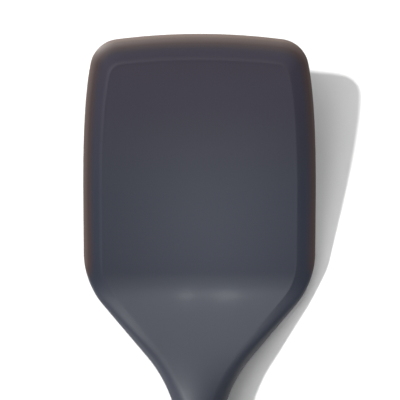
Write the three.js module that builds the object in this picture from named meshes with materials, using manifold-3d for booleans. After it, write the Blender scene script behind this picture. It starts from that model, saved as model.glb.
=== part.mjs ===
// A silicone kitchen turner, in millimetres, lying face up on a table with its tip edge towards +Y.
//
// Every piece is first laid out in a flat pattern: x runs across, s runs along the turner from the middle
// of the tip edge, and n stands up from the middle of its thickness. A side profile of lines and arcs, the
// spine, then carries the pattern into place: the blade slopes down to the heel, the shoulders rise from it
// to the neck, and the handle dips back until its underside meets the table.

import * as THREE from "three";
import { mergeVertices, toCreasedNormals } from "three/addons/utils/BufferGeometryUtils.js";
import Module from "manifold-3d";

const wasm = await Module();
wasm.setup();
const { degToRad, lerp, clamp, smoothstep } = THREE.MathUtils;

// Head, in its flat pattern
const BLADE_LENGTH = 86; // tip edge to the start of the heel bend
const BLADE_WIDTH = 83;
const BLADE_THICKNESS = 3.2; // over the core plate
const TIP_NARROWING = 3.1; // how far the ends of the tip corners lie inside the widest line, each side
const TIP_CROWN = 3.3; // how far the middle of the tip edge stands ahead of its ends
const TIP_CORNER_RADIUS = 10.8;
const TIP_FLARE = 12; // degrees, the lean of the sides just behind the tip corners
const WIDEST_FROM_TIP = 60.5;
const SHOULDER_RADIUS = 28;
const SHOULDER_ANGLE = 40.5; // degrees from the middle line
const SHOULDER_REACH = 42.1; // heel bend to where the two shoulder lines would meet
const NECK_RADIUS = 50;
const NECK_WIDTH = 14;
const NECK_THICKNESS = 10;
const NECK_LENGTH = 13; // straight silicone sleeve behind the shoulders
const NECK_OVAL = 0.4; // of the neck's half thickness, left at its edges before they are rounded

// Where the head's skin changes behind the heel bend, as distances from the end of the bend
const SWELL_START = -2; // the top thickens evenly from here
const SWELL_END = 42;
const SWELL_EASE = 8; // length over which that rise sets in, and fades out
const UNDER_SWELL_END = 30; // the underside thickens up to here
const ROUNDING_END = 16; // the lip has turned to a rounded edge
const OVAL_START = 12;
const OVAL_END = 44;

// And ahead of it
const UNDER_SWELL_START = 45; // from the tip edge
const HEEL_LEAD = 8; // from the start of the bend, where the lip begins to turn to a rounded edge

// Soft lip round the flat of the blade
const TIP_LIP = 9;
const SIDE_LIP = 6.7;
const SHOULDER_LIP = 4; // width of the rounded edge of shoulders and neck
const LIP_EDGE = 0.9; // thickness of the outermost edge
const LIP_LIFT = 0.6; // how far the underside of the edge stands above the flat underside
const SHOULDER_RIM = -0.9; // height of the edge's middle along the shoulders
const FLAT_CORNER_RADIUS = 5;
const FLAT_CROWN = 2;
const FLAT_SHOULDER_RADIUS = 22;

// Side profile, angles in degrees
const BLADE_TILT = 12.5;
const HEEL_RADIUS = 30;
const NECK_RISE = 7.3;
const HANDLE_BEND_RADIUS = 110;
const TAIL_BEND_RADIUS = 500; // turns the dipping handle level again at its belly

// Core plate, and the rivets that hold it to the shank
const PLATE_THICKNESS = 0.8;
const PLATE_MARGIN = 1.5; // from the edge of the flat, so that the plate shows through as a faint line
const PLATE_SHOULDER_MARGIN = 4.5; // from the outline of the shoulders
const PLATE_NECK_RADIUS = 30;
const PLATE_TAIL_WIDTH = 8;
const ANCHOR_RADIUS = 4; // holes that the silicone grips through
const ANCHOR_PITCH_X = 19;
const ANCHOR_PITCH_S = 20;
const ANCHOR_COLUMNS = 3;
const ANCHOR_ROWS = 3;
const ANCHOR_FIRST_ROW = 27; // from the tip edge
const RIVET_RADIUS = 1.2;
const RIVET_HEAD_RADIUS = 2.2;
const RIVET_HEAD_HEIGHT = 0.8;
const RIVET_PITCH = 8;

// Shank
const NECK_WALL = 2.2; // silicone round the shank
const SHANK_INSET = 28; // heel bend to the front of the shank
const SHANK_NOSE = 4; // length of the tapered front
const SHANK_NOSE_INSET = 0.9; // how far the front is drawn in
const LAP_LENGTH = 18; // half-lap that the plate's tail lies on
const TANG_LENGTH = 46; // shank inside the handle core

// Handle
const COLLAR_LENGTH = 7; // hard ring that shows between silicone and grip
const COLLAR_STEP = 1.5; // collar over neck
const COLLAR_CHAMFER = 1.2;
const GRIP_STEP = 0.8; // front of the grip over collar
const GRIP_LENGTH = 150;
const GRIP_WALL = 2.2; // soft layer over the handle core
const BELLY_FROM_FRONT = 94;
const BELLY_WIDTH = 28;
const BELLY_THICKNESS = 18;
const TAIL_WIDTH = 25;
const TAIL_THICKNESS = 15;
const GRIP_NOSE_LENGTH = 2.5; // rounded front edge of the grip
const GRIP_NOSE_DEPTH = 1;
const END_ROUND = 13;
const REST_DEPTH = 0.5; // depth of the flat that the handle rests on

// Tang pins, grip anchors and the hanging eyelet in the handle
const PIN_WALL = 1.3; // shank above and below each pin
const PIN_RECESS = 0.5; // pin end below the surface of the core
const PIN_FROM_TANG_END = 5;
const PIN_PITCH = 20;
const WINDOW_WIDTH = 7;
const WINDOW_LENGTH = 18;
const WINDOW_PITCH = 26;
const WINDOW_FROM_TANG = 15; // tang end to the middle of the first window
const EYELET_WIDTH = 9;
const EYELET_LENGTH = 20;
const EYELET_WALL = 2;
const EYELET_RECESS = 0.6; // eyelet rim below the grip
const EYELET_FROM_END = 18; // end of the grip to the middle of the eyelet

// Between any two pieces that touch
const FIT_GAP = 0.3;

// Facets, and how square the oval sections are: 2 is an ellipse
const SECTION_SQUARENESS = 2.5;
const SECTION_SIDES = 20;
const STATION_STEP = 8;
const ROUND_SIDES = 12;
const MERGE_DISTANCE = 1e-4;
const CREASE = degToRad(30);

// Places along the spine
const heelEnd = BLADE_LENGTH + HEEL_RADIUS * degToRad(BLADE_TILT + NECK_RISE);
const apex = heelEnd + SHOULDER_REACH;
const shoulder = degToRad(SHOULDER_ANGLE);
const neckStart = apex - NECK_WIDTH / 2 / Math.tan(shoulder) + NECK_RADIUS * Math.tan(shoulder / 2);
const headEnd = neckStart + NECK_LENGTH;
const collarStart = headEnd + FIT_GAP;
const collarEnd = collarStart + COLLAR_LENGTH;
const gripStart = collarEnd + FIT_GAP;
const gripEnd = gripStart + GRIP_LENGTH;
const belly = gripStart + BELLY_FROM_FRONT;
const eyelet = gripEnd - EYELET_FROM_END;
const shankStart = heelEnd + SHANK_INSET;
const lapEnd = shankStart + LAP_LENGTH;
const tangEnd = collarStart + TANG_LENGTH;
const plateEnd = lapEnd - FIT_GAP;

const neckHalf = { x: NECK_WIDTH / 2, n: NECK_THICKNESS / 2 };
const collarHalf = { x: neckHalf.x + COLLAR_STEP, n: neckHalf.n + COLLAR_STEP };
const gripFrontHalf = { x: collarHalf.x + GRIP_STEP, n: collarHalf.n + GRIP_STEP };
const shankHalf = { x: neckHalf.x - NECK_WALL, n: neckHalf.n - NECK_WALL };

// An even rise from 0 to 1, its slope brought in and taken out over a length.
function easedRamp(value, start, end, ease) {
  const into = clamp(value - start, 0, ease);
  const even = clamp(value - start - ease, 0, end - start - 2 * ease);
  const out = clamp(value - end + ease, 0, ease);
  return (into ** 2 / (2 * ease) + even + out - out ** 2 / (2 * ease)) / (end - start - ease);
}

// Half thickness of the head in its middle, above the spine with side 1 and below it with side -1.
function skinHalf(s, side) {
  const swell = side > 0
    ? easedRamp(s, heelEnd + SWELL_START, heelEnd + SWELL_END, SWELL_EASE)
    : smoothstep(s, UNDER_SWELL_START, heelEnd + UNDER_SWELL_END);
  return lerp(BLADE_THICKNESS / 2, neckHalf.n, swell);
}

// Half width and half thickness of the handle at s, its surface drawn in by inset.
function handleHalf(s, inset) {
  const toBelly = smoothstep(s, gripStart, belly);
  const toTail = smoothstep(s, belly, eyelet);
  const x = lerp(lerp(gripFrontHalf.x, BELLY_WIDTH / 2, toBelly), TAIL_WIDTH / 2, toTail);
  const n = lerp(lerp(gripFrontHalf.n, BELLY_THICKNESS / 2, toBelly), TAIL_THICKNESS / 2, toTail);
  const intoEnd = clamp((s - gripEnd + END_ROUND) / (END_ROUND - inset), 0, 1);
  const end = Math.sqrt(1 - intoEnd ** 2);
  return { x: (x - inset) * end, n: (n - inset) * end };
}

// The spine as runs of constant curvature, each with its length and its slope at both ends.
function spineRuns(dip) {
  const tilt = degToRad(BLADE_TILT);
  const rise = degToRad(NECK_RISE);
  const bendLength = HANDLE_BEND_RADIUS * (rise + dip);
  const levelLength = TAIL_BEND_RADIUS * dip;
  return [
    { length: BLADE_LENGTH, from: -tilt, to: -tilt },
    { length: heelEnd - BLADE_LENGTH, from: -tilt, to: rise },
    { length: neckStart - heelEnd, from: rise, to: rise },
    { length: bendLength, from: rise, to: -dip },
    { length: belly - levelLength - bendLength - neckStart, from: -dip, to: -dip },
    { length: levelLength, from: -dip, to: 0 },
    { length: gripEnd - belly, from: 0, to: 0 },
  ];
}

// Place and slope of the spine at s, from the middle of the tip edge.
function spineAt(runs, s) {
  let y = 0;
  let z = 0;
  let left = s;
  for (const [index, run] of runs.entries()) {
    const step = index === runs.length - 1 ? left : Math.min(left, run.length);
    const curvature = (run.to - run.from) / run.length;
    const slope = run.from + curvature * step;
    if (curvature === 0) {
      y -= step * Math.cos(slope);
      z += step * Math.sin(slope);
    } else {
      y -= (Math.sin(slope) - Math.sin(run.from)) / curvature;
      z += (Math.cos(run.from) - Math.cos(slope)) / curvature;
    }
    left -= step;
    if (left <= 0) return { y, z, slope };
  }
}

// Evenly spaced places from one s to another, both included.
function stations(from, to, step = STATION_STEP) {
  const count = Math.max(1, Math.round((to - from) / step));
  return Array.from({ length: count + 1 }, (_, i) => lerp(from, to, i / count));
}

// Height of the tip edge's middle over the table that the heel's underside rests on.
function findTipHeight() {
  const level = spineRuns(0);
  const drops = stations(UNDER_SWELL_START, heelEnd + UNDER_SWELL_END, 1).map((s) => {
    const { z, slope } = spineAt(level, s);
    return skinHalf(s, -1) * Math.cos(slope) - z;
  });
  return Math.max(...drops);
}

// The handle dips by the angle at which its underside would just sink into the table by REST_DEPTH.
function findDip() {
  const undersides = stations(gripStart, gripEnd);
  const lowest = (dip) => {
    const runs = spineRuns(dip);
    return tipHeight + Math.min(...undersides.map((s) => spineAt(runs, s).z - handleHalf(s, 0).n));
  };
  let [shallow, steep] = [0, degToRad(NECK_RISE)];
  while (steep - shallow > 1e-7) {
    const middle = (shallow + steep) / 2;
    if (lowest(middle) > -REST_DEPTH) shallow = middle;
    else steep = middle;
  }
  return steep;
}

const tipHeight = findTipHeight();
const runs = spineRuns(findDip());

// A point of the flat pattern carried onto the spine.
function place(x, s, n) {
  const { y, z, slope } = spineAt(runs, s);
  return new THREE.Vector3(x, y + n * Math.sin(slope), tipHeight + z + n * Math.cos(slope));
}

// The frame of the flat pattern at s: across, back towards the tip, and up from the surface.
function placement(x, s, n) {
  const { slope } = spineAt(runs, s);
  return new THREE.Matrix4().makeRotationX(-slope).setPosition(place(x, s, n));
}

// A manifold solid of a closed geometry.
function solidOf(geometry) {
  const bare = new THREE.BufferGeometry();
  bare.setAttribute("position", geometry.getAttribute("position").clone());
  bare.setIndex(geometry.index);
  const { index, attributes } = mergeVertices(bare, MERGE_DISTANCE);
  const triVerts = [];
  for (let i = 0; i < index.count; i += 3) {
    const [a, b, c] = index.array.slice(i, i + 3);
    if (a !== b && b !== c && c !== a) triVerts.push(a, b, c);
  }
  const vertProperties = attributes.position.array;
  return new wasm.Manifold(
    new wasm.Mesh({ numProp: 3, vertProperties, triVerts: Uint32Array.from(triVerts) }),
  );
}

// A closed solid from lines of points, taken in order round it. Neighbouring lines are joined by triangles,
// and the lines' ends meet, so points that coincide become one.
function wrap(lines) {
  const perLine = lines[0].length;
  const index = [];
  lines.forEach((_, i) => {
    const here = i * perLine;
    const next = ((i + 1) % lines.length) * perLine;
    for (let k = 0; k < perLine - 1; k++) {
      index.push(here + k, here + k + 1, next + k, next + k, here + k + 1, next + k + 1);
    }
  });
  const geometry = new THREE.BufferGeometry().setFromPoints(lines.flat());
  return solidOf(geometry.setIndex(index));
}

// A superellipse with its points in order round it.
function section(half) {
  const spread = (value) => Math.sign(value) * Math.abs(value) ** (2 / SECTION_SQUARENESS);
  return Array.from({ length: SECTION_SIDES }, (_, j) => {
    const turn = (2 * Math.PI * (j + 0.5)) / SECTION_SIDES;
    return { x: half.x * spread(Math.cos(turn)), n: half.n * spread(Math.sin(turn)) };
  });
}

// A solid through sections along the spine, closed flat at both ends. Each ring has its s and half sizes.
function loft(rings, floor = -Infinity) {
  const sections = rings.map(({ s, half }) => section(half).map(({ x, n }) => {
    const point = place(x, s, n);
    point.z = Math.max(point.z, floor);
    return point;
  }));
  const [first, last] = [rings[0].s, rings.at(-1).s];
  const lines = Array.from({ length: SECTION_SIDES }, (_, j) => [
    place(0, last, 0),
    ...sections.map((points) => points[j]).reverse(),
    place(0, first, 0),
  ]);
  return wrap(lines);
}

// A round rod along the second axis, about the origin, with no corner on the other two axes.
function roundRod(radius, length) {
  return new THREE.CylinderGeometry(
    radius, radius, length, ROUND_SIDES, 1, false, Math.PI / ROUND_SIDES,
  );
}

// A round rod along n between two heights.
function post(radius, x, s, from, to) {
  const rod = roundRod(radius, to - from).rotateX(Math.PI / 2);
  return solidOf(rod.applyMatrix4(placement(x, s, (from + to) / 2)));
}

// A slot with round ends, long in s, cut through n from -depth to depth.
function slot(width, length, s, depth) {
  const radius = width / 2;
  const reach = length / 2 - radius;
  const outline = new THREE.Shape();
  outline.absarc(0, reach, radius, 0, Math.PI);
  outline.absarc(0, -reach, radius, Math.PI, 2 * Math.PI);
  const bar = new THREE.ExtrudeGeometry(outline, {
    depth: 2 * depth,
    bevelEnabled: false,
    curveSegments: ROUND_SIDES / 4,
  });
  bar.translate(0, 0, -depth);
  bar.deleteAttribute("normal");
  bar.deleteAttribute("uv");
  return solidOf(mergeVertices(bar).applyMatrix4(placement(0, s, 0)));
}

// Right half of a head outline, from the middle of the tip edge to the neck, as a chain of curves: a crowned
// tip, a round corner, a side that flares to its full width, a round shoulder, a straight shoulder line and a
// hollow into the neck.
function halfOutline(o) {
  const flare = degToRad(TIP_FLARE);
  const crownRadius = (o.tipHalf ** 2 + o.crown ** 2) / (2 * o.crown);
  const crownCentre = o.tip + crownRadius;
  const cornerX = o.tipHalf - o.cornerRadius * Math.cos(flare);
  const cornerS = crownCentre - Math.sqrt((crownRadius - o.cornerRadius) ** 2 - cornerX ** 2);
  const cornerStart = Math.atan2(cornerS - crownCentre, cornerX);
  const flareStart = cornerS - o.cornerRadius * Math.sin(flare);
  const flareControl = flareStart + (o.half - o.tipHalf) / Math.tan(flare);
  const tangent = Math.tan(shoulder / 2);
  const sideEnd = o.apex - o.half / Math.tan(shoulder) - o.shoulderRadius * tangent;
  const hollowEnd = o.apex - o.neckHalf / Math.tan(shoulder) + o.neckRadius * tangent;

  const point = (x, s) => new THREE.Vector2(x, s);
  const round = (x, s, radius, from, to, clockwise) => new THREE.ArcCurve(x, s, radius, from, to, clockwise);
  const widest = Math.max(WIDEST_FROM_TIP, flareControl);
  const shoulderArc = round(o.half - o.shoulderRadius, sideEnd, o.shoulderRadius, 0, shoulder);
  const hollowX = o.neckHalf + o.neckRadius;
  const hollow = round(hollowX, hollowEnd, o.neckRadius, Math.PI + shoulder, Math.PI, true);
  const flareEnds = [point(o.tipHalf, flareStart), point(o.half, widest)];
  return [
    round(0, crownCentre, crownRadius, -Math.PI / 2, cornerStart),
    round(cornerX, cornerS, o.cornerRadius, cornerStart, -flare),
    new THREE.QuadraticBezierCurve(flareEnds[0], point(o.half, flareControl), flareEnds[1]),
    new THREE.LineCurve(flareEnds[1], point(o.half, sideEnd)),
    shoulderArc,
    new THREE.LineCurve(shoulderArc.getPoint(1), hollow.getPoint(0)),
    hollow,
    new THREE.LineCurve(hollow.getPoint(1), point(o.neckHalf, o.end)),
  ];
}

// Points of a whole outline, from the right end of the neck round the tip to the left end.
// Each curve of the half outline is cut into its own number of steps.
const OUTLINE_STEPS = [6, 5, 6, 2, 5, 8, 6, 3];
function outlinePoints(curves) {
  const half = curves.flatMap((curve, i) => curve.getSpacedPoints(OUTLINE_STEPS[i]).slice(i ? 1 : 0));
  const right = half.map(({ x, y }) => ({ x, s: y })).reverse();
  const left = half.slice(1).map(({ x, y }) => ({ x: -x, s: y }));
  return [...right, ...left];
}

const rimOutline = {
  tip: 0,
  tipHalf: BLADE_WIDTH / 2 - TIP_NARROWING,
  crown: TIP_CROWN,
  cornerRadius: TIP_CORNER_RADIUS,
  half: BLADE_WIDTH / 2,
  shoulderRadius: SHOULDER_RADIUS,
  apex,
  neckRadius: NECK_RADIUS,
  neckHalf: neckHalf.x,
  end: headEnd,
};

// Edge of the flat, where the soft lip starts and where the shoulders' rounding starts.
const flatOutline = {
  tip: TIP_LIP,
  tipHalf: BLADE_WIDTH / 2 - TIP_NARROWING - SIDE_LIP,
  crown: FLAT_CROWN,
  cornerRadius: FLAT_CORNER_RADIUS,
  half: BLADE_WIDTH / 2 - SIDE_LIP,
  shoulderRadius: FLAT_SHOULDER_RADIUS,
  apex: apex - SHOULDER_LIP / Math.sin(shoulder),
  neckRadius: NECK_RADIUS + SHOULDER_LIP,
  neckHalf: neckHalf.x - SHOULDER_LIP,
  end: headEnd,
};

// The core plate's outline, grown by a gap for the space that it fills.
function plateOutline(gap) {
  return {
    tip: TIP_LIP + PLATE_MARGIN - gap,
    tipHalf: BLADE_WIDTH / 2 - TIP_NARROWING - SIDE_LIP - PLATE_MARGIN + gap,
    crown: FLAT_CROWN,
    cornerRadius: FLAT_CORNER_RADIUS + gap,
    half: BLADE_WIDTH / 2 - SIDE_LIP - PLATE_MARGIN + gap,
    shoulderRadius: FLAT_SHOULDER_RADIUS + gap,
    apex: apex - (PLATE_SHOULDER_MARGIN - gap) / Math.sin(shoulder),
    neckRadius: PLATE_NECK_RADIUS - gap,
    neckHalf: PLATE_TAIL_WIDTH / 2 + gap,
    end: plateEnd + gap,
  };
}

// Where the lines across a head outline end: on the middle line, and near the tip in one point of it.
function middleOf(point) {
  return { x: 0, s: Math.max(point.s, BLADE_WIDTH / 2) };
}

function between(a, b, share) {
  return { x: lerp(a.x, b.x, share), s: lerp(a.s, b.s, share) };
}

// Outer form of the head. Across each line it runs from the middle over the flat, down the lip to the edge
// and back underneath. Behind the heel the flat swells to an oval neck and the lip turns to a rounded edge.
const FLAT_STEPS = 2;
const LIP_STEPS = 3;
function headForm() {
  const rim = outlinePoints(halfOutline(rimOutline));
  const flat = outlinePoints(halfOutline(flatOutline));
  const bladeRim = -BLADE_THICKNESS / 2 + LIP_LIFT + LIP_EDGE / 2;

  // Height of the skin, side 1 for the top and -1 for the underside. lip runs from 0 at the rim to 1 at the
  // edge of the flat, and across from 0 in the middle to 1 at the rim.
  const height = (s, side, lip, across) => {
    const rounding = smoothstep(s, BLADE_LENGTH - HEEL_LEAD, heelEnd + ROUNDING_END);
    const oval = smoothstep(s, heelEnd + OVAL_START, heelEnd + OVAL_END);
    const shape = lerp(lip, Math.sqrt(1 - (1 - lip) ** 2), rounding);
    const edge = lerp(bladeRim, SHOULDER_RIM, rounding) * (1 - oval) + (side * LIP_EDGE) / 2;
    const crown = 1 - (1 - NECK_OVAL) * oval * across ** 2;
    return lerp(edge, side * skinHalf(s, side) * crown, shape);
  };

  const lines = rim.map((edge, i) => {
    const edgeHalf = edge.x || neckHalf.x;
    const skin = (side) => {
      const inside = Array.from({ length: FLAT_STEPS }, (_, k) => 1 - k / FLAT_STEPS);
      const outside = Array.from({ length: LIP_STEPS + 1 }, (_, k) => 1 - (k / LIP_STEPS) ** 0.7);
      const onFlat = inside.map((share) => {
        const { x, s } = between(flat[i], middleOf(flat[i]), share);
        return place(x, s, height(s, side, 1, x / edgeHalf));
      });
      const onLip = outside.map((share) => {
        const { x, s } = between(edge, flat[i], share);
        return place(x, s, height(s, side, share, x / edgeHalf));
      });
      return [...onFlat, ...onLip];
    };
    return [...skin(1), ...skin(-1).reverse()];
  });
  return wrap(lines);
}

// Places of the anchor holes: a grid over the flat of the blade.
function anchorPlaces() {
  const places = [];
  for (let row = 0; row < ANCHOR_ROWS; row++) {
    for (let column = 0; column < ANCHOR_COLUMNS; column++) {
      places.push({
        x: (column - (ANCHOR_COLUMNS - 1) / 2) * ANCHOR_PITCH_X,
        s: ANCHOR_FIRST_ROW + row * ANCHOR_PITCH_S,
      });
    }
  }
  return places;
}

// Places of the rivets, spread about the middle of the half-lap.
const lapMiddle = (shankStart + SHANK_NOSE + lapEnd) / 2;
const rivetPlaces = { front: lapMiddle - RIVET_PITCH / 2, rear: lapMiddle + RIVET_PITCH / 2 };

// The plate with its anchor holes, its faces moved out by gap.
function plateForm(gap) {
  const faceHeight = PLATE_THICKNESS / 2 + gap;
  const lines = outlinePoints(halfOutline(plateOutline(gap))).map((edge) => {
    const middle = middleOf(edge);
    return [
      place(middle.x, middle.s, faceHeight),
      place(edge.x, edge.s, faceHeight),
      place(edge.x, edge.s, -faceHeight),
      place(middle.x, middle.s, -faceHeight),
    ];
  });
  const cutHeight = faceHeight + 1;
  return anchorPlaces().reduce(
    (plate, { x, s }) => plate.subtract(post(ANCHOR_RADIUS - gap, x, s, -cutHeight, cutHeight)),
    wrap(lines),
  );
}

// A rivet through plate and lap: a head on the plate, and a foot let into the underside of the lap.
const rivetTop = PLATE_THICKNESS / 2 + FIT_GAP + RIVET_HEAD_HEIGHT;
const rivetFoot = -shankHalf.n;
const footTop = rivetFoot + RIVET_HEAD_HEIGHT;
function rivetForm(s, gap) {
  const head = post(RIVET_HEAD_RADIUS + gap, 0, s, rivetTop - RIVET_HEAD_HEIGHT - gap, rivetTop + gap);
  const stem = post(RIVET_RADIUS + gap, 0, s, footTop - RIVET_HEAD_HEIGHT / 2, rivetTop);
  const foot = post(RIVET_HEAD_RADIUS + gap, 0, s, rivetFoot - gap, footTop + gap);
  return head.add(stem).add(foot);
}

// The shank: an oval bar with a tapered front, cut to a half-lap where the plate's tail lies on it.
// Its surface is moved out by gap.
function shankForm(gap) {
  const oval = (inset) => ({ x: shankHalf.x - inset + gap, n: shankHalf.n - inset + gap });
  const rings = [
    { s: shankStart - gap, half: oval(SHANK_NOSE_INSET) },
    ...stations(shankStart + SHANK_NOSE, tangEnd + gap).map((s) => ({ s, half: oval(0) })),
  ];
  const past = 1;
  const floor = gap - PLATE_THICKNESS / 2 - FIT_GAP;
  const height = shankHalf.n - floor + past;
  const length = LAP_LENGTH + past;
  const block = new THREE.BoxGeometry(2 * (shankHalf.x + past), length, height);
  const lap = block.applyMatrix4(placement(0, lapEnd - gap - length / 2, floor + height / 2));
  return loft(rings).subtract(solidOf(lap));
}

// Pins across the tang. Each ends just below the surface of the handle core, and its bore runs through it.
const rearPin = tangEnd - PIN_FROM_TANG_END;
const pinPlaces = { front: rearPin - PIN_PITCH, rear: rearPin };
const pinRadius = shankHalf.n - PIN_WALL;
function crossRod(s, radius, reach) {
  const rod = roundRod(radius, 2 * reach).rotateZ(Math.PI / 2);
  return solidOf(rod.applyMatrix4(placement(0, s, 0)));
}
function pinForm(s) {
  return crossRod(s, pinRadius, handleHalf(s, GRIP_WALL).x - PIN_RECESS);
}
function pinBore(s) {
  return crossRod(s, pinRadius + FIT_GAP, handleHalf(s, 0).x);
}

// Body of the handle core with the eyelet, windows and slot, its surface moved out by gap.
const windowPlaces = [0, 1].map((i) => tangEnd + WINDOW_FROM_TANG + i * WINDOW_PITCH);
function coreForm(gap) {
  const inset = GRIP_WALL - gap;
  const coreEnd = gripEnd - inset;
  const coreStart = (collarStart + collarEnd) / 2;
  const rings = [...stations(coreStart, gripEnd - END_ROUND), ...roundEnd(coreEnd, inset)];
  const body = loft(rings.map((s) => ({ s, half: handleHalf(s, inset) })));
  const deep = BELLY_THICKNESS;
  const rimHeight = TAIL_THICKNESS / 2 - EYELET_RECESS + gap;
  const wall = 2 * (EYELET_WALL + gap);
  const ring = slot(EYELET_WIDTH + wall, EYELET_LENGTH + wall, eyelet, rimHeight);
  return windowPlaces.reduce(
    (core, s) => core.subtract(slot(WINDOW_WIDTH - 2 * gap, WINDOW_LENGTH - 2 * gap, s, deep)),
    body.add(ring),
  );
}

// Places along the rounded end of the handle, close together where it turns in.
function roundEnd(end, inset) {
  const steps = 5;
  return Array.from({ length: steps }, (_, i) => {
    const turn = ((i + 1) / steps) * (Math.PI / 2);
    return end - (END_ROUND - inset) * (1 - Math.sin(turn));
  });
}

function handleCore() {
  const chamfer = { x: collarHalf.x - COLLAR_CHAMFER, n: collarHalf.n - COLLAR_CHAMFER };
  const collar = loft([
    { s: collarStart, half: chamfer },
    { s: collarStart + COLLAR_CHAMFER, half: collarHalf },
    { s: collarEnd, half: collarHalf },
  ]);
  const socket = loft(stations(collarStart - 1, tangEnd + FIT_GAP).map((s) => ({
    s,
    half: { x: shankHalf.x + FIT_GAP, n: shankHalf.n + FIT_GAP },
  })));
  return coreForm(0)
    .add(collar)
    .subtract(socket)
    .subtract(slot(EYELET_WIDTH, EYELET_LENGTH, eyelet, TAIL_THICKNESS))
    .subtract(pinBore(pinPlaces.front))
    .subtract(pinBore(pinPlaces.rear));
}

// The soft grip: the handle's outside with a rounded front and a flat to rest on, less the core.
function softGrip() {
  const nose = [0, 1, 2].map((i) => {
    const turn = (i / 2) * (Math.PI / 2);
    const half = handleHalf(gripStart, GRIP_NOSE_DEPTH * (1 - Math.sin(turn)));
    return { s: gripStart + GRIP_NOSE_LENGTH * (1 - Math.cos(turn)), half };
  });
  const rings = [
    ...stations(gripStart + GRIP_NOSE_LENGTH, gripEnd - END_ROUND).slice(1),
    ...roundEnd(gripEnd, 0),
  ].map((s) => ({ s, half: handleHalf(s, 0) }));
  const room = 2 * (EYELET_WALL + FIT_GAP);
  return loft([...nose, ...rings], 0)
    .subtract(coreForm(FIT_GAP))
    .subtract(slot(EYELET_WIDTH + room, EYELET_LENGTH + room, eyelet, TAIL_THICKNESS));
}

function siliconeHead() {
  return headForm()
    .subtract(plateForm(FIT_GAP))
    .subtract(shankForm(FIT_GAP))
    .subtract(rivetForm(rivetPlaces.front, FIT_GAP))
    .subtract(rivetForm(rivetPlaces.rear, FIT_GAP));
}

function corePlate() {
  return plateForm(0)
    .subtract(rivetForm(rivetPlaces.front, FIT_GAP))
    .subtract(rivetForm(rivetPlaces.rear, FIT_GAP));
}

function nylonShank() {
  return shankForm(0)
    .subtract(rivetForm(rivetPlaces.front, FIT_GAP))
    .subtract(rivetForm(rivetPlaces.rear, FIT_GAP))
    .subtract(pinBore(pinPlaces.front))
    .subtract(pinBore(pinPlaces.rear));
}

// Materials
const silicone = new THREE.MeshStandardMaterial({ color: 0x484a52, roughness: 0.55, metalness: 0 });
const springSteel = new THREE.MeshStandardMaterial({ color: 0xa9abad, roughness: 0.35, metalness: 1 });
const nylon = new THREE.MeshStandardMaterial({ color: 0x1c1c1e, roughness: 0.5, metalness: 0 });
const hardPlastic = new THREE.MeshStandardMaterial({ color: 0x26272a, roughness: 0.4, metalness: 0 });
const softPlastic = new THREE.MeshStandardMaterial({ color: 0x2b2c30, roughness: 0.75, metalness: 0 });

function piece(name, solid, material) {
  const { vertProperties, triVerts } = solid.getMesh();
  const geometry = new THREE.BufferGeometry();
  geometry.setAttribute("position", new THREE.BufferAttribute(vertProperties, 3));
  geometry.setIndex(new THREE.BufferAttribute(triVerts, 1));
  const mesh = new THREE.Mesh(toCreasedNormals(geometry, CREASE), material);
  mesh.name = name;
  return mesh;
}

const turner = new THREE.Group();
turner.add(
  piece("silicone_head", siliconeHead(), silicone),
  piece("core_plate", corePlate(), springSteel),
  piece("core_rivet_front", rivetForm(rivetPlaces.front, 0), springSteel),
  piece("core_rivet_rear", rivetForm(rivetPlaces.rear, 0), springSteel),
  piece("nylon_shank", nylonShank(), nylon),
  piece("handle_core", handleCore(), hardPlastic),
  piece("tang_pin_front", pinForm(pinPlaces.front), springSteel),
  piece("tang_pin_rear", pinForm(pinPlaces.rear), springSteel),
  piece("soft_grip", softGrip(), softPlastic),
);

// The origin is under the middle of the turner, on the table.
const extent = new THREE.Box3().setFromObject(turner);
const middle = extent.getCenter(new THREE.Vector3());
const assembly = new THREE.Group();
turner.position.set(-middle.x, -middle.y, -extent.min.z);
assembly.add(turner);

export default assembly;
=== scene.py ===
"""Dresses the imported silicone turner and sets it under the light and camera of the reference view.

The turner lies face up with its tip edge towards +Y. As in the solids, each form is laid out in a flat
pattern, with x across, s along from the tip edge and n up from the middle of the thickness, and a spine of
lines and arcs carries it into place. Lengths are in millimetres until place() turns them into metres.
"""

import math

import bmesh
import bpy
import numpy as np
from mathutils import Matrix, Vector

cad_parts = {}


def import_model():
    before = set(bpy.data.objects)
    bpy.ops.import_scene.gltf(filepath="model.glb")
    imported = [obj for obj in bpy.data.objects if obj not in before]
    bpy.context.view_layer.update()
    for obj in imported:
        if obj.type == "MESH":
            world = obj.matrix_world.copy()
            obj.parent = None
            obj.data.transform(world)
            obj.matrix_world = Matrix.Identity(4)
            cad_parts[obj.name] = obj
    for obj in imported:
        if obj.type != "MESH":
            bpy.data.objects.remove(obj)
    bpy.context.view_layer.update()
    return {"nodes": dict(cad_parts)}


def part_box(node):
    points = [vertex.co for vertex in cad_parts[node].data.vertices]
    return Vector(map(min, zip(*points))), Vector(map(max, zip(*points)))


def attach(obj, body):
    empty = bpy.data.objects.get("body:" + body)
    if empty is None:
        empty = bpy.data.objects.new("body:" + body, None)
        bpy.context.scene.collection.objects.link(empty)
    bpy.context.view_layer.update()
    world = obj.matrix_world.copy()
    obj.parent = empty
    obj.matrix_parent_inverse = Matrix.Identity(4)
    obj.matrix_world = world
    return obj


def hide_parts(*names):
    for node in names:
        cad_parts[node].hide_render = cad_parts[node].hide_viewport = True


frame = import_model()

MM = 0.001

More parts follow.
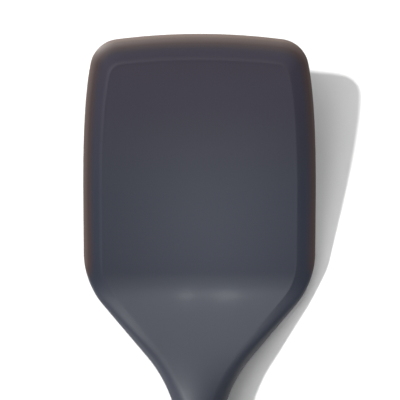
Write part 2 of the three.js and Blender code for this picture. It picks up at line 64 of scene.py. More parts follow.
# Head, in its flat pattern
BLADE_LENGTH = 86.0
BLADE_WIDTH = 83.0
BLADE_THICKNESS = 3.2
TIP_NARROWING = 3.1
TIP_CROWN = 3.3
TIP_CORNER_RADIUS = 10.8
TIP_FLARE = math.radians(12)
WIDEST_FROM_TIP = 60.5
SHOULDER_RADIUS = 28.0
SHOULDER = math.radians(40.5)
SHOULDER_REACH = 42.1
NECK_RADIUS = 50.0
NECK_WIDTH = 14.0
NECK_THICKNESS = 10.0
NECK_OVAL = 0.4  # of the neck's half thickness, left at its edges before they are rounded
NECK_LENGTH = 13.0
NECK_END_ROUND = 0.8
SWELL_START = -2.0  # behind the heel, as are the next five
SWELL_END = 42.0
UNDER_SWELL_END = 30.0
OVAL_START = 12.0
OVAL_END = 44.0
ROUNDING_END = 16.0
SWELL_EASE = 8.0
UNDER_SWELL_START = 45.0  # from the tip edge

# Soft lip round the flat of the blade
TIP_LIP = 9.0
SIDE_LIP = 6.7
SHOULDER_LIP = 5.0
LIP_EDGE = 0.9
LIP_LIFT = 0.6
SHOULDER_RIM = -0.9
TIP_LIP_SLOPE = 0.45  # of an even slope, where the lip leaves the flat at the tip
TIP_LIP_ROUND = 4  # how late the rest of the tip lip turns down
FLAT_EDGE_SOFTNESS = 0.08  # of the lip's width, where the flat turns into the lip
FLAT_CORNER_RADIUS = 5.0
FLAT_CROWN = 2.0
FLAT_SHOULDER_RADIUS = 22.0
FLAT_BEAD = 0.05
FLAT_BEAD_WIDTH = 0.06  # of the lip's width
# Shares of the tip's thinness and painted glow at the left and right rims; the right rim lies on the shaded
# side and gets less painted glow
LEFT_THIN_AND_GLOW = 0.9  # of the tip's, as is the next
RIGHT_THIN_AND_GLOW = 0.74
POLISHED_PATCHES = ((-5.0, 2.8, 1.0), (9.5, 5.5, 0.9))  # middle, reach and share on the heel
POLISH_REACH = 3.6
PARTING_RIDGE = 0.1
RIDGE_SHARPNESS = 20
HEEL_LEAD = 8.0

# Side profile
BLADE_TILT = math.radians(12.5)
HEEL_RADIUS = 30.0
NECK_RISE = math.radians(7.3)
HANDLE_BEND_RADIUS = 110.0
HANDLE_DIP = math.radians(1.9452)  # brings the handle's belly down to the table
TAIL_BEND_RADIUS = 500.0

# Handle
FIT_GAP = 0.3
SHANK_WIDTH = 9.6
SHANK_THICKNESS = 5.6
TANG_LENGTH = 46.0
COLLAR_LENGTH = 7.0
COLLAR_STEP = 1.5
COLLAR_ROUND = 1.2
GRIP_STEP = 0.8
GRIP_LENGTH = 150.0
GRIP_WALL = 2.2
BELLY_FROM_FRONT = 94.0
BELLY_WIDTH = 28.0
BELLY_THICKNESS = 18.0
TAIL_WIDTH = 25.0
TAIL_THICKNESS = 15.0
GRIP_NOSE_LENGTH = 2.5
GRIP_NOSE_DEPTH = 1.0
END_ROUND = 13.0
EYELET_WIDTH = 9.0
EYELET_LENGTH = 20.0
EYELET_WALL = 2.0
EYELET_RECESS = 0.6
EYELET_FROM_END = 18.0
EYELET_LIP = 1.0
EYELET_LIP_TURN = math.radians(72)
SECTION_SQUARENESS = 2.5

# Places along the spine
HEEL_END = BLADE_LENGTH + HEEL_RADIUS * (BLADE_TILT + NECK_RISE)
APEX = HEEL_END + SHOULDER_REACH
NECK_START = APEX - NECK_WIDTH / 2 / math.tan(SHOULDER) + NECK_RADIUS * math.tan(SHOULDER / 2)
HEAD_END = NECK_START + NECK_LENGTH
COLLAR_START = HEAD_END + FIT_GAP
COLLAR_END = COLLAR_START + COLLAR_LENGTH
GRIP_START = COLLAR_END + FIT_GAP
GRIP_END = GRIP_START + GRIP_LENGTH
BELLY = GRIP_START + BELLY_FROM_FRONT
EYELET = GRIP_END - EYELET_FROM_END
TANG_END = COLLAR_START + TANG_LENGTH
POLISH_MIDDLE = HEEL_END - 0.5

# Finishes
NOISE_RANGE = (0.25, 0.75)  # what soft noise mostly fills
PLUM_START = 0.1  # metres along Y, where the silicone's tint begins to turn to plum
PLUM_END = 0.15
SATIN = (0.44, 0.48)  # lowest and highest roughness
WORN = 0.31  # roughness of the polished patches
THIN_GLOSS = 0.32  # roughness of the thin lip

# Light and camera, places in metres
BLADE_MIDDLE = (0, 0.1, 0.01)
HEEL_POOL = (0.007, 0.082, 0.005)
BLADE_POOL = (0.002, 0.095, 0.01)
LAMP_DISTANCE = 1.2
KEY_ELEVATION = math.radians(42.5)
KEY_ACROSS = (-0.88, 0.47)
HORIZON = 0.05  # sine of the height up to which the surround is white
OVERHEAD = 0.12  # and from which it is grey
SURROUND_GREY = 0.125
CAMERA_PLACE = (0.00019, 0.09983, 1.0)

# Fineness of the meshes
OUTLINE_STEPS = (26, 20, 30, 8, 24, 40, 30, 14)
CORNER_STEP = OUTLINE_STEPS[0] + OUTLINE_STEPS[1] // 2
LIP_SHARES = (1.14, 1.09, 1.04, 1.0, 0.96, 0.91, 0.86, 0.79, 0.7, 0.6, 0.5, 0.4, 0.3, 0.21, 0.13, 0.06, 0.02)
EDGE_STEPS = 8
SECTION_SIDES = 96
STATION_STEP = 1.5
END_POINTS = 24  # round the end of the handle
ROUND_POINTS = 10  # round the front edges of grip and collar
LIP_POINTS = 7  # round the lip of the eyelet's room
RIM_POINTS = 13  # round each rim of the eyelet
SLOT_SIDES = 64
HEIGHT_SAMPLES = 200
WELD_DISTANCE = 0.002
SMALLEST_HALF = 1e-6


def lerp(a, b, share):
    return a + (b - a) * share


def smoothstep(value, start, end):
    t = np.clip((value - start) / (end - start), 0, 1)
    return t * t * (3 - 2 * t)


def eased_ramp(value, start, end, ease):
    """An even rise from 0 to 1, its slope brought in and taken out over a length."""
    into = np.clip(value - start, 0, ease)
    even = np.clip(value - start - ease, 0, end - start - 2 * ease)
    out = np.clip(value - end + ease, 0, ease)
    return (into**2 / (2 * ease) + even + out - out**2 / (2 * ease)) / (end - start - ease)


def spine_runs():
    """Length and turn of each run of the spine, from the tip edge to the end of the grip."""
    bend = HANDLE_BEND_RADIUS * (NECK_RISE + HANDLE_DIP)
    level = TAIL_BEND_RADIUS * HANDLE_DIP
    return (
        (BLADE_LENGTH, 0),
        (HEEL_END - BLADE_LENGTH, BLADE_TILT + NECK_RISE),
        (NECK_START - HEEL_END, 0),
        (bend, -NECK_RISE - HANDLE_DIP),
        (BELLY - level - bend - NECK_START, 0),
        (level, HANDLE_DIP),
        (GRIP_LENGTH, 0),
    )


def spine(s):
    """Place and slope of the spine at each s, from the tip edge's middle at the origin."""
    y = np.zeros_like(s)
    z = np.zeros_like(s)
    slope = np.full_like(s, -BLADE_TILT)
    start = 0
    for length, turn in spine_runs():
        step = np.clip(s - start, 0, length)
        if turn:
            radius = length / turn
            after = slope + step / radius
            y -= radius * (np.sin(after) - np.sin(slope))
            z += radius * (np.cos(slope) - np.cos(after))
            slope = after
        else:
            y -= step * np.cos(slope)
            z += step * np.sin(slope)
        start += length
    return y, z, slope


def skin_half(s, side):
    """Half thickness of the head in its middle, above the spine with side 1 and below it with side -1."""
    if side > 0:
        swell = eased_ramp(s, HEEL_END + SWELL_START, HEEL_END + SWELL_END, SWELL_EASE)
    else:
        swell = smoothstep(s, UNDER_SWELL_START, HEEL_END + UNDER_SWELL_END)
    return lerp(BLADE_THICKNESS / 2, NECK_THICKNESS / 2, swell)


def tip_height():
    """Height of the tip edge's middle with the lowest place of the underside on the table."""
    s = np.linspace(UNDER_SWELL_START, HEEL_END + UNDER_SWELL_END, HEIGHT_SAMPLES)
    _, z, slope = spine(s)
    return np.max(skin_half(s, -1) * np.cos(slope) - z)


TIP_Z = tip_height()
LOWEST_EDGE = BLADE_THICKNESS / 2 - LIP_LIFT
TIP_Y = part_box("silicone_head")[1][1] - LOWEST_EDGE * math.sin(BLADE_TILT) * MM


def place(x, s, n):
    """Points of the flat pattern carried onto the spine, in metres."""
    x, s, n = (a.astype(float).ravel() for a in np.broadcast_arrays(x, s, n))
    y, z, slope = spine(s)
    points = np.column_stack((x, y + n * np.sin(slope), TIP_Z + z + n * np.cos(slope))) * MM
    points[:, 1] += TIP_Y
    points[:, 2] = np.maximum(points[:, 2], 0)
    return points


def place_free(x, s, n):
    """Points of the level tail of the handle, which may also lie below the table."""
    y, z, _ = spine(s)
    points = np.column_stack((x, y, TIP_Z + z + n)) * MM
    points[:, 1] += TIP_Y
    return points


def grid_faces(rows, columns, first=0, closed=False):
    """Quads between neighbouring points of a grid, its columns joined end to end where it is closed."""
    spans = columns if closed else columns - 1
    return [
        (
            first + r * columns + c,
            first + r * columns + (c + 1) % columns,
            first + (r + 1) * columns + (c + 1) % columns,
            first + (r + 1) * columns + c,
        )
        for r in range(rows - 1)
        for c in range(spans)
    ]


def mesh_object(name, points, faces, **values):
    """A closed smooth object of points and faces. Values are kept with the points as attributes."""
    mesh = bpy.data.meshes.new(name)
    mesh.from_pydata(points.tolist(), [], faces)
    for attribute, value in values.items():
        mesh.attributes.new(attribute, "FLOAT", "POINT").data.foreach_set("value", value.astype(np.float32))
    bm = bmesh.new()
    bm.from_mesh(mesh)
    bmesh.ops.remove_doubles(bm, verts=bm.verts, dist=WELD_DISTANCE * MM)
    open_edges = [e for e in bm.edges if e.is_boundary]
    bmesh.ops.holes_fill(bm, edges=open_edges, sides=0)
    bmesh.ops.recalc_face_normals(bm, faces=bm.faces)
    for face in bm.faces:
        face.smooth = True
    bm.to_mesh(mesh)
    bm.free()
    obj = bpy.data.objects.new(name, mesh)
    bpy.context.scene.collection.objects.link(obj)
    return obj


def carve(obj, cutters, operation="DIFFERENCE"):
    """Cuts each of the cutters out of an object, or joins it to it, for good."""
    for cutter in cutters:
        modifier = obj.modifiers.new("carve", "BOOLEAN")
        modifier.operation = operation
        modifier.solver = "EXACT"
        modifier.object = cutter
    bpy.context.view_layer.update()
    carved = bpy.data.meshes.new_from_object(obj.evaluated_get(bpy.context.evaluated_depsgraph_get()))
    obj.modifiers.clear()
    obj.data = carved
    return obj


def arc(x, s, radius, start, end, steps):
    turn = np.linspace(start, end, steps + 1)
    return np.column_stack((x + radius * np.cos(turn), s + radius * np.sin(turn)))


def bezier(start, control, end, steps):
    t = np.linspace(0, 1, steps + 1)[:, None]
    return (1 - t) ** 2 * np.array(start) + 2 * t * (1 - t) * np.array(control) + t**2 * np.array(end)


def head_outline(lip, tip_lip, crown, corner_radius, shoulder_radius, shoulder_lip):
    """Points of a head outline, drawn in by its lips, from the neck's right end round the tip to its left.

    Half of it is a crowned tip, a round corner, a side that flares to full width, a round shoulder, a
    straight shoulder line and a hollow into the neck.
    """
    half = BLADE_WIDTH / 2 - lip
    tip_half = half - TIP_NARROWING
    neck_half = NECK_WIDTH / 2 - shoulder_lip
    neck_radius = NECK_RADIUS + shoulder_lip
    apex = APEX - shoulder_lip / math.sin(SHOULDER)
    crown_radius = (tip_half**2 + crown**2) / (2 * crown)
    crown_centre = tip_lip + crown_radius
    corner_x = tip_half - corner_radius * math.cos(TIP_FLARE)
    corner_s = crown_centre - math.sqrt((crown_radius - corner_radius) ** 2 - corner_x**2)
    corner_start = math.atan2(corner_s - crown_centre, corner_x)
    flare_start = corner_s - corner_radius * math.sin(TIP_FLARE)
    flare_control = flare_start + TIP_NARROWING / math.tan(TIP_FLARE)
    tangent = math.tan(SHOULDER / 2)
    side_end = apex - half / math.tan(SHOULDER) - shoulder_radius * tangent
    hollow_end = apex - neck_half / math.tan(SHOULDER) + neck_radius * tangent

    steps = OUTLINE_STEPS
    shoulder = arc(half - shoulder_radius, side_end, shoulder_radius, 0, SHOULDER, steps[4])
    hollow = arc(neck_half + neck_radius, hollow_end, neck_radius, math.pi + SHOULDER, math.pi, steps[6])
    flare = bezier((tip_half, flare_start), (half, flare_control), (half, WIDEST_FROM_TIP), steps[2])
    curves = [
        arc(0, crown_centre, crown_radius, -math.pi / 2, corner_start, steps[0]),
        arc(corner_x, corner_s, corner_radius, corner_start, -TIP_FLARE, steps[1]),
        flare,
        np.linspace(flare[-1], shoulder[0], steps[3] + 1),
        shoulder,
        np.linspace(shoulder[-1], hollow[0], steps[5] + 1),
        hollow,
        np.linspace(hollow[-1], (neck_half, HEAD_END), steps[7] + 1),
    ]
    right = np.vstack([curves[0][:1]] + [curve[1:] for curve in curves])
    return np.vstack((right[::-1], right[1:] * (-1, 1)))


def edge_rounding(s):
    """Share of the way from the blade's lip, 0, to the rounded edge of shoulder and neck, 1."""
    return smoothstep(s, BLADE_LENGTH - HEEL_LEAD, HEEL_END + ROUNDING_END)


def skin_height(side, s, lip, across, tip):
    """Height of the head's skin, side 1 for the top and -1 for the underside.

    lip runs from 0 at the rim to 1 at the edge of the flat, across from 0 in the middle to 1 at the rim,
    and tip is 1 on the lip of the tip edge. Behind the heel the flat swells to an oval neck and the lip
    turns to a rounded edge.
    """
    rounding = edge_rounding(s)
    out = np.clip(1 - lip, 0, 1)
    soft = FLAT_EDGE_SOFTNESS
    run = np.where(1 - lip > soft, 1 - lip, np.clip(1 - lip + soft, 0, None) ** 2 / (4 * soft))
    slope = lerp(1, TIP_LIP_SLOPE, tip)
    oval = smoothstep(s, HEEL_END + OVAL_START, HEEL_END + OVAL_END)
    shape = lerp(1 - slope * run - (1 - slope) * out**TIP_LIP_ROUND, np.sqrt(1 - out**2), rounding)
    blade_rim = -BLADE_THICKNESS / 2 + LIP_LIFT + LIP_EDGE / 2
    edge = lerp(blade_rim, SHOULDER_RIM, rounding) * (1 - oval) + side * LIP_EDGE / 2
    crown = 1 - (1 - NECK_OVAL) * oval * across**2
    bead = side * FLAT_BEAD * (1 - rounding) * np.exp(-(((lip - 1) / FLAT_BEAD_WIDTH) ** 2))
    return lerp(edge, side * skin_half(s, side) * crown, shape) + bead


def rim_thinness_and_glow(x, s, tip):
    """Thinness of the rim and its painted glow, 1 at the tip, less at the sides, least on the shaded right
    side, and none behind the heel.
    """
    blade = 1 - smoothstep(s, BLADE_LENGTH - HEEL_LEAD / 2, HEEL_END)
    return blade * lerp(np.where(x > 0, RIGHT_THIN_AND_GLOW, LEFT_THIN_AND_GLOW), 1, tip)


def head_points(flat_xy, lip, across, tip, side):
    """Placed points of the head's skin, how thin it is there with the painted glow that goes with it, and how
    polished it is, from 0 to 1.
    """
    x, s = flat_xy[..., 0], flat_xy[..., 1]
    top = skin_height(1, s, lip, across, tip)
    below = skin_height(-1, s, lip, across, tip)
    # the lip's thinness, which also carries the painted glow of light let through it, weaker on the shaded
    # right
    thin_and_glow = np.clip(1 - lip, 0, 1) * rim_thinness_and_glow(x, s, tip)
    polish = sum(share * np.exp(-(((x - at) / reach) ** 2)) for at, reach, share in POLISHED_PATCHES)
    polish = polish * np.exp(-(((s - POLISH_MIDDLE) / POLISH_REACH) ** 2))
    into_end = np.clip((s - HEAD_END + NECK_END_ROUND) / NECK_END_ROUND, 0, 1)
    shrink = 1 - NECK_END_ROUND / (NECK_WIDTH / 2) * (1 - np.sqrt(1 - into_end**2))
    n = top if side > 0 else below
    return place(x * shrink, s, n * shrink), thin_and_glow.ravel(), polish.ravel()


def silicone_head():
    """The head's skin: a patch over the flat, one under it, and a band over lip, rim and lip between them."""
    rim = head_outline(0, 0, TIP_CROWN, TIP_CORNER_RADIUS, SHOULDER_RADIUS, 0)
    flat = head_outline(
        SIDE_LIP, TIP_LIP, FLAT_CROWN, FLAT_CORNER_RADIUS, FLAT_SHOULDER_RADIUS, SHOULDER_LIP
    )
    inward = flat - rim
    inward /= np.linalg.norm(inward, axis=1)[:, None]
    tip = np.clip(inward[:, 1], 0, 1) ** 2
    rounding = edge_rounding(rim[:, 1])
    edge_depth = LIP_EDGE / 2 * (1 - rounding)
    start = rim + inward * edge_depth[:, None]
    rim_half = np.maximum(np.abs(rim[:, 0]), SMALLEST_HALF)

    points, thin_and_glow_values, polishes, faces = [], [], [], []

    def add(grid, thin_and_glow, polish, rows, columns):
        faces.extend(grid_faces(rows, columns, sum(len(p) for p in points)))
        points.append(grid)
        thin_and_glow_values.append(thin_and_glow)
        polishes.append(polish)

    def lip_line(share, side):
        line = start + (flat - start) * share
        return head_points(line, share, np.abs(line[:, 0]) / rim_half, tip, side)

    def rim_line(turn):
        top = skin_height(1, rim[:, 1], 0, 1, tip)
        below = skin_height(-1, rim[:, 1], 0, 1, tip)
        ridge = PARTING_RIDGE * rounding * math.cos(turn) ** RIDGE_SHARPNESS
        line = start - inward * (edge_depth * math.cos(turn) + ridge)[:, None]
        n = (top + below) / 2 + (top - below) / 2 * math.sin(turn)
        return place(line[:, 0], line[:, 1], n), rim_thinness_and_glow(*rim.T, tip), np.zeros(len(rim))

    band = [lip_line(share, 1) for share in LIP_SHARES]
    band += [rim_line(turn) for turn in np.linspace(math.pi / 2, -math.pi / 2, EDGE_STEPS + 1)]
    band += [lip_line(share, -1) for share in LIP_SHARES[::-1]]
    grids, *values = zip(*band)
    add(np.vstack(grids), *(np.hstack(value) for value in values), len(band), len(rim))

    border = start + (flat - start) * LIP_SHARES[0]
    middle = len(rim) // 2
    corners = middle - CORNER_STEP, middle + CORNER_STEP
    tip_edge = border[corners[0] : corners[1] + 1]
    side_line = border[corners[0] :: -1]
    fade = 1 - smoothstep(side_line[:, 1], side_line[0, 1], WIDEST_FROM_TIP)
    x = np.outer(side_line[:, 0], tip_edge[:, 0] / tip_edge[0, 0])
    s = side_line[:, 1][:, None] + np.outer(fade, tip_edge[:, 1] - tip_edge[0, 1])
    patch = np.dstack((x, s))
    across = np.abs(x) / rim_half[corners[0] :: -1][:, None]
    for side in (1, -1):
        add(*head_points(patch, LIP_SHARES[0], across, 0, side), *x.shape)
    values = dict(thin_and_glow=np.hstack(thin_and_glow_values), polish=np.hstack(polishes))
    return mesh_object("head_moulding", np.vstack(points), faces, **values)


def handle_half(s, inset):
    """Half width and half thickness of the handle at s, its surface drawn in by inset."""
    to_belly = smoothstep(s, GRIP_START, BELLY)
    to_tail = smoothstep(s, BELLY, EYELET)
    front_x = NECK_WIDTH / 2 + COLLAR_STEP + GRIP_STEP
    front_n = NECK_THICKNESS / 2 + COLLAR_STEP + GRIP_STEP
    x = lerp(lerp(front_x, BELLY_WIDTH / 2, to_belly), TAIL_WIDTH / 2, to_tail)
    n = lerp(lerp(front_n, BELLY_THICKNESS / 2, to_belly), TAIL_THICKNESS / 2, to_tail)
    into_end = np.clip((s - GRIP_END + END_ROUND) / (END_ROUND - inset), 0, 1)
    end = np.sqrt(1 - into_end**2)
    return (x - inset) * end, (n - inset) * end


def stations(start, end):
    return np.linspace(start, end, max(2, round(abs(end - start) / STATION_STEP) + 1))


def loft(name, rings):
    """A closed solid through oval rings along the spine, each with its s, half width and half thickness."""
    s, half_x, half_n = np.array(rings).T[:, :, None]
    turn = (np.arange(SECTION_SIDES) + 0.5) * 2 * math.pi / SECTION_SIDES

    def spread(value):
        return np.sign(value) * np.abs(value) ** (2 / SECTION_SQUARENESS)

    points = place(half_x * spread(np.cos(turn)), s, half_n * spread(np.sin(turn)))
    return mesh_object(name, points, grid_faces(len(rings), SECTION_SIDES, closed=True))


def body_rings(start, inset):
    """Rings over the handle from start to its rounded end, drawn in by inset."""
    end = GRIP_END - inset
    turn = np.linspace(0, math.pi / 2, END_POINTS)[1:]
    rounded = end - (END_ROUND - inset) * (1 - np.sin(turn))
    s = np.hstack((stations(start, GRIP_END - END_ROUND), rounded))
    return list(zip(s, *handle_half(s, inset)))


def obround(width, length):
    """Points round a slot with round ends, long in s, about its middle, and their outward directions."""
    radius = width / 2
    turn = (np.arange(SLOT_SIDES) + 0.5) * 2 * math.pi / SLOT_SIDES
    out = np.column_stack((np.cos(turn), np.sin(turn)))
    reach = np.where(out[:, 1] > 0, 1, -1) * (length / 2 - radius)
    return out * radius + np.column_stack((np.zeros(SLOT_SIDES), reach)), out


def tail_surface(x, s):
    """Height of the handle's upper surface over its spine at x and s."""
    half_x, half_n = handle_half(s, 0)
    share = np.clip(np.abs(x) / half_x, 0, 1)
    return half_n * (1 - share**SECTION_SQUARENESS) ** (1 / SECTION_SQUARENESS)


def eyelet_cutter():
    """The room for the eyelet in the soft grip, opening out to a rounded lip at both faces."""
    room = 2 * (EYELET_WALL + FIT_GAP)
    outline, out = obround(EYELET_WIDTH + room, EYELET_LENGTH + room)
    turns = np.linspace(EYELET_LIP_TURN, 0, LIP_POINTS)
    levels = [(EYELET_LIP * (1 - math.cos(t)), EYELET_LIP * (1 - math.sin(t))) for t in turns]
    rows = []
    for side in (1, -1):
        lines = []
        for spread, depth in [(levels[0][0], -2 * EYELET_LIP), *levels]:
            line = outline + out * spread
            surface = tail_surface(line[:, 0], EYELET + line[:, 1])
            lines.append(place_free(line[:, 0], EYELET + line[:, 1], side * (surface - depth)))
        rows += lines if side > 0 else lines[::-1]
    return mesh_object("cutter", np.vstack(rows), grid_faces(len(rows), len(outline), closed=True))


def soft_grip():
    """The grip as a sleeve: from the inside of its end forwards, over the rounded front, and back outside."""
    inner = body_rings(GRIP_START, GRIP_WALL - FIT_GAP)[::-1]
    turn = np.linspace(0, math.pi / 2, ROUND_POINTS)
    nose = [
        (
            GRIP_START + GRIP_NOSE_LENGTH * (1 - math.cos(t)),
            *handle_half(np.array(GRIP_START), GRIP_NOSE_DEPTH * (1 - math.sin(t))),
        )
        for t in turn
    ]
    outer = body_rings(GRIP_START + GRIP_NOSE_LENGTH, 0)[1:]
    grip = loft("grip_sleeve", inner + nose + outer)
    cutter = eyelet_cutter()
    carve(grip, [cutter])
    bpy.data.objects.remove(cutter)
    return grip


def eyelet_ring():
    """The hard lining of the hanging hole, with rounded rims."""
    height = TAIL_THICKNESS / 2 - EYELET_RECESS
    radius = EYELET_WALL / 2
    outline, out = obround(EYELET_WIDTH + EYELET_WALL, EYELET_LENGTH + EYELET_WALL)
    rows = []
    for centre, start in ((height - radius, 0), (radius - height, math.pi)):
        for turn in np.linspace(start, start + math.pi, RIM_POINTS):
            line = outline + out * radius * math.cos(turn)
            n = centre + radius * math.sin(turn)
            rows.append(place_free(line[:, 0], EYELET + line[:, 1], np.full(len(line), n)))
    points = np.vstack(rows + rows[:1])
    return mesh_object("ring", points, grid_faces(len(rows) + 1, len(outline), closed=True))


def handle_core():
    """The hard core: out of the tang's socket, over the collar, then back under the grip, with the eyelet."""
    tang = SHANK_WIDTH / 2, SHANK_THICKNESS / 2
    socket = [(s, *tang) for s in stations(TANG_END, COLLAR_START)]
    collar_half = NECK_WIDTH / 2 + COLLAR_STEP, NECK_THICKNESS / 2 + COLLAR_STEP
    collar = []
    for turn in np.linspace(0, math.pi / 2, ROUND_POINTS):
        drawn_in = COLLAR_ROUND * (1 - math.sin(turn))
        s = COLLAR_START + COLLAR_ROUND * (1 - math.cos(turn))
        collar.append((s, collar_half[0] - drawn_in, collar_half[1] - drawn_in))
    collar += [(s, *collar_half) for s in stations(COLLAR_START + COLLAR_ROUND, COLLAR_END)[1:]]
    pole = [(TANG_END, 0, 0)]
    core = loft("handle_body", pole + socket + collar + body_rings(COLLAR_END, GRIP_WALL))
    outline, _ = obround(EYELET_WIDTH + EYELET_WALL, EYELET_LENGTH + EYELET_WALL)
    rows = [
        place_free(outline[:, 0], EYELET + outline[:, 1], np.full(len(outline), n))
        for n in (TAIL_THICKNESS, -TAIL_THICKNESS)
    ]
    hole = mesh_object("hole", np.vstack(rows), grid_faces(2, len(outline), closed=True))
    ring = eyelet_ring()
    carve(core, [hole, frame["nodes"]["tang_pin_front"], frame["nodes"]["tang_pin_rear"]])
    carve(core, [ring], "UNION")
    bpy.data.objects.remove(hole)
    bpy.data.objects.remove(ring)
    return core


class Finish:
    """A node material under construction."""

    def __init__(self, name, colour, roughness, **constants):
        self.material = bpy.data.materials.new(name)
        self.material.use_nodes = True
        self.tree = self.material.node_tree
        self.shader = self.tree.nodes["Principled BSDF"]
        self.shader.inputs["Base Color"].default_value = (*colour, 1)
        self.shader.inputs["Roughness"].default_value = roughness
        for socket, value in constants.items():
            self.shader.inputs[socket.replace("_", " ")].default_value = value
        self.place = self.tree.nodes.new("ShaderNodeTexCoord").outputs["Object"]

    def node(self, kind, **inputs):
        node = self.tree.nodes.new(kind)
        for name, value in inputs.items():
            socket = node.inputs[name.replace("_", " ")]
            if isinstance(value, bpy.types.NodeSocket):
                self.tree.links.new(value, socket)
            else:
                socket.default_value = value
        return node

    def attribute(self, name):
        node = self.tree.nodes.new("ShaderNodeAttribute")
        node.attribute_name = name
        return node.outputs["Fac"]

    def noise(self, size, detail=3.0, stretch=(1, 1, 1)):
        """Soft cloudy noise with features of about a size in millimetres."""
        scale = [1 / (size * MM * s) for s in stretch]
        mapped = self.node("ShaderNodeMapping", Vector=self.place, Scale=scale)
        noise = self.node("ShaderNodeTexNoise", Vector=mapped.outputs[0], Scale=1.0, Detail=detail)
        return noise.outputs["Fac"]

    def ramp(self, source, stops):
        ramp = self.node("ShaderNodeValToRGB", Fac=source)
        elements = ramp.color_ramp.elements
        while len(elements) < len(stops):
            elements.new(1)
        for element, (position, colour) in zip(elements, stops):
            element.position = position
            element.color = (*colour, 1)
        return ramp.outputs["Color"]

    def mix(self, factor, a, b, blend="MIX"):
        mix = self.tree.nodes.new("ShaderNodeMix")
        mix.data_type = "RGBA"
        mix.blend_type = blend
        for socket, value in ((mix.inputs[0], factor), (mix.inputs[6], a), (mix.inputs[7], b)):
            if isinstance(value, bpy.types.NodeSocket):
                self.tree.links.new(value, socket)
            else:
                socket.default_value = value
        return mix.outputs[2]

    def spread(self, noise, low, high):
        """Noise spread over the values from low to high."""
        darkest, lightest = NOISE_RANGE
        mapped = self.node("ShaderNodeMapRange", Value=noise, From_Min=darkest, From_Max=lightest)
        mapped.inputs["To Min"].default_value = low
        mapped.inputs["To Max"].default_value = high
        return mapped.outputs[0]

    def bump(self, height, depth, under=None):
        """Relief of a depth in millimetres, on top of the relief under it."""
        bump = self.node("ShaderNodeBump", Height=height, Strength=1.0, Distance=depth * MM)
        if under is not None:
            self.tree.links.new(under, bump.inputs["Normal"])
        return bump.outputs[0]

    def set(self, **sockets):
        for name, source in sockets.items():
            self.tree.links.new(source, self.shader.inputs[name.replace("_", " ")])
        return self.material


def srgb(red, green, blue):
    """A colour given as display values from 0 to 255."""
    return tuple(((v / 255 + 0.055) / 1.055) ** 2.4 if v > 10 else v / 3294.6 for v in (red, green, blue))


def grey(level):
    return (level,) * 3


def silicone():
    """Satin slate silicone, with a painted glow, warm and lighter, where the lip is thin, standing in for
    light let through it.
    """
    finish = Finish("satin_silicone", srgb(46, 48, 59), 0.46, IOR=1.45)
    along = finish.node("ShaderNodeSeparateXYZ", Vector=finish.place).outputs["Y"]
    towards_tip = finish.node("ShaderNodeMapRange", Value=along, From_Min=PLUM_START, From_Max=PLUM_END)
    tint = finish.ramp(towards_tip.outputs[0], [(0, srgb(44, 48, 59)), (1, srgb(52, 48, 60))])
    cloud = finish.ramp(finish.noise(45), [(0.3, grey(0.94)), (0.7, grey(1.0))])
    body = finish.mix(1.0, tint, cloud, "MULTIPLY")
    thin_and_glow = finish.attribute("thin_and_glow")
    # Painted glow: light let through the thin lip painted into the colour as a warm lighter rim, weaker on
    # the shaded right
    rim_glow_stops = [
        (0.45, srgb(49, 46, 54)),
        (0.7, srgb(61, 50, 50)),
        (0.9, srgb(88, 76, 72)),
        (1, srgb(112, 98, 91)),
    ]
    rim = finish.ramp(thin_and_glow, rim_glow_stops)
    share = finish.ramp(thin_and_glow, [(0.38, grey(0)), (0.56, grey(1))])
    colour = finish.mix(share, body, rim)
    satin = finish.spread(finish.noise(9, 4.0), *SATIN)
    polish = finish.attribute("polish")
    worn = finish.mix(polish, satin, (*grey(WORN), 1))
    glossy = finish.ramp(thin_and_glow, [(0, grey(0)), (0.2, grey(1))])
    roughness = finish.mix(glossy, worn, (*grey(THIN_GLOSS), 1))
    uneven = finish.bump(finish.noise(11, 1.0), 0.008)
    stipple = finish.mix(polish, (*grey(0.5), 1), finish.noise(0.9, 1.0))
    grain = finish.bump(finish.noise(0.45, 2.0), 0.006, finish.bump(stipple, 0.035, uneven))
    return finish.set(Base_Color=colour, Roughness=roughness, Normal=grain)


def soft_rubber():
    finish = Finish("soft_grip_rubber", srgb(44, 45, 49), 0.72, IOR=1.5, Sheen_Weight=0.08)
    stipple = finish.noise(0.6, 2.0)
    colour = finish.ramp(finish.noise(18), [(0.3, srgb(42, 43, 47)), (0.7, srgb(47, 48, 52))])
    roughness = finish.spread(finish.noise(7), 0.66, 0.8)
    return finish.set(Base_Color=colour, Roughness=roughness, Normal=finish.bump(stipple, 0.03))


def hard_plastic():
    finish = Finish("moulded_plastic", srgb(38, 39, 42), 0.35, IOR=1.49)
    colour = finish.ramp(finish.noise(9), [(0.3, srgb(36, 37, 40)), (0.7, srgb(40, 41, 44))])
    roughness = finish.spread(finish.noise(3), 0.3, 0.42)
    return finish.set(Base_Color=colour, Roughness=roughness, Normal=finish.bump(finish.noise(0.5), 0.008))


def filled_nylon():
    finish = Finish("glass_filled_nylon", srgb(30, 30, 32), 0.5, IOR=1.53)
    flow = finish.noise(0.8, 4.0, (1, 6, 1))
    colour = finish.ramp(flow, [(0.35, srgb(27, 27, 29)), (0.7, srgb(38, 38, 41))])
    roughness = finish.spread(flow, 0.42, 0.6)
    return finish.set(Base_Color=colour, Roughness=roughness, Normal=finish.bump(flow, 0.015))


def rolled_steel(name, colour):
    finish = Finish(name, colour, 0.34, Metallic=1.0)
    grain = finish.noise(0.3, 4.0, (1, 40, 1))
    shade = finish.ramp(grain, [(0.3, tuple(c * 0.86 for c in colour)), (0.7, colour)])
    roughness = finish.spread(grain, 0.26, 0.42)
    return finish.set(Base_Color=shade, Roughness=roughness, Normal=finish.bump(grain, 0.004))


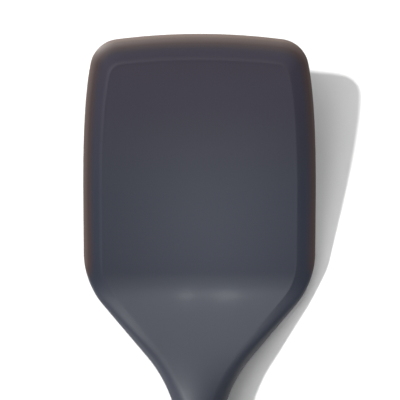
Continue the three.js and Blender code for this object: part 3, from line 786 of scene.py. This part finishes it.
def dress(pieces):
    """Puts finishes on the new pieces, and on the nodes of the solids that stay."""
    rubber, plastic, nylon = soft_rubber(), hard_plastic(), filled_nylon()
    spring = rolled_steel("spring_steel", srgb(176, 178, 180))
    rivet = rolled_steel("rivet_steel", srgb(186, 186, 184))
    made = (
        ("silicone_head", silicone(), "silicone"),
        ("soft_grip", rubber, "grip_rubber"),
        ("handle_core", plastic, "handle_plastic"),
    )
    for node, material, slot in made:
        piece = pieces[node]
        piece.data.materials.clear()
        piece.data.materials.append(material)
        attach(piece, "root")
        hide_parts(node)
    kept = {
        "core_plate": spring,
        "core_rivet_front": rivet,
        "core_rivet_rear": rivet,
        "nylon_shank": nylon,
        "tang_pin_front": rivet,
        "tang_pin_rear": rivet,
    }
    for node, material in kept.items():
        frame["nodes"][node].material_slots[0].material = material


def floor():
    """A wide white table top with a faint even tooth."""
    finish = Finish("white_table", grey(0.94), 0.9, Specular_IOR_Level=0.0)
    colour = finish.ramp(finish.noise(30), [(0.3, grey(0.935)), (0.7, grey(0.945))])
    material = finish.set(Base_Color=colour)
    reach, sides = 20.0, 64
    turn = np.arange(sides) * 2 * math.pi / sides
    rim = np.column_stack((reach * np.cos(turn), reach * np.sin(turn), np.zeros(sides)))
    mesh = bpy.data.meshes.new("table_top")
    mesh.from_pydata(rim.tolist(), [], [tuple(range(sides))])
    mesh.materials.append(material)
    table = bpy.data.objects.new("table_top", mesh)
    bpy.context.scene.collection.objects.link(table)


def world():
    """A plain surround, white at the horizon and grey overhead."""
    made = bpy.data.worlds.new("surround")
    made.use_nodes = True
    bpy.context.scene.world = made
    tree = made.node_tree
    direction = tree.nodes.new("ShaderNodeTexCoord").outputs["Generated"]
    parts = tree.nodes.new("ShaderNodeSeparateXYZ")
    ramp = tree.nodes.new("ShaderNodeValToRGB")
    ramp.color_ramp.elements[0].position = HORIZON
    ramp.color_ramp.elements[0].color = (1, 1, 1, 1)
    ramp.color_ramp.elements[1].position = OVERHEAD
    ramp.color_ramp.elements[1].color = (*grey(SURROUND_GREY), 1)
    tree.links.new(direction, parts.inputs[0])
    tree.links.new(parts.outputs["Z"], ramp.inputs["Fac"])
    tree.links.new(ramp.outputs["Color"], tree.nodes["Background"].inputs["Color"])


def lamp(name, kind, towards, target, **settings):
    """A lamp in a direction from its target, facing it."""
    data = bpy.data.lights.new(name, kind)
    for setting, value in settings.items():
        setattr(data, setting, value)
    obj = bpy.data.objects.new(name, data)
    direction = Vector(towards).normalized()
    obj.location = Vector(target) + direction * LAMP_DISTANCE
    obj.rotation_euler = direction.to_track_quat("Z", "Y").to_euler()
    obj.visible_camera = False
    bpy.context.scene.collection.objects.link(obj)


def lights():
    """A key from the upper left, soft boxes round it, and soft pools on the blade and heel."""
    level = math.cos(KEY_ELEVATION)
    towards = (KEY_ACROSS[0] * level, KEY_ACROSS[1] * level, math.sin(KEY_ELEVATION))
    lamp("key", "SUN", towards, BLADE_MIDDLE, energy=3.3, angle=math.radians(3.5))
    soft = dict(shape="SQUARE", size=0.8)
    lamp("back_box", "AREA", (-0.15, 0.87, 0.47), BLADE_MIDDLE, energy=4.8, **soft)
    lamp("left_box", "AREA", (-0.48, 0.34, 0.81), BLADE_MIDDLE, energy=5.0, **soft)
    low = dict(shape="SQUARE", size=0.4)
    lamp("near_left_box", "AREA", (-0.81, -0.56, 0.17), BLADE_MIDDLE, energy=2.2, **low)
    lamp("near_right_box", "AREA", (0.76, -0.62, 0.17), BLADE_MIDDLE, energy=1.6, **low)
    lamp("top_box", "AREA", (0.12, 0.25, 0.96), BLADE_MIDDLE, energy=1.9, **soft)
    wide = dict(shadow_soft_size=0.03, spot_size=math.radians(4.2), spot_blend=1.0)
    narrow = dict(wide, spot_size=math.radians(3.4))
    lamp("blade_pool", "SPOT", (0, -0.3, 0.95), BLADE_POOL, energy=7.4, **wide)
    lamp("heel_pool", "SPOT", (0, 0.1, 1), HEEL_POOL, energy=20, **narrow)


def camera():
    data = bpy.data.cameras.new("camera")
    data.lens = 249.9
    data.sensor_width = 36
    data.clip_end = 100
    obj = bpy.data.objects.new("camera", data)
    obj.location = CAMERA_PLACE
    bpy.context.scene.collection.objects.link(obj)
    bpy.context.scene.camera = obj


dress({"silicone_head": silicone_head(), "soft_grip": soft_grip(), "handle_core": handle_core()})
floor()
world()
lights()
camera()
bpy.context.scene.view_settings.view_transform = "Standard"
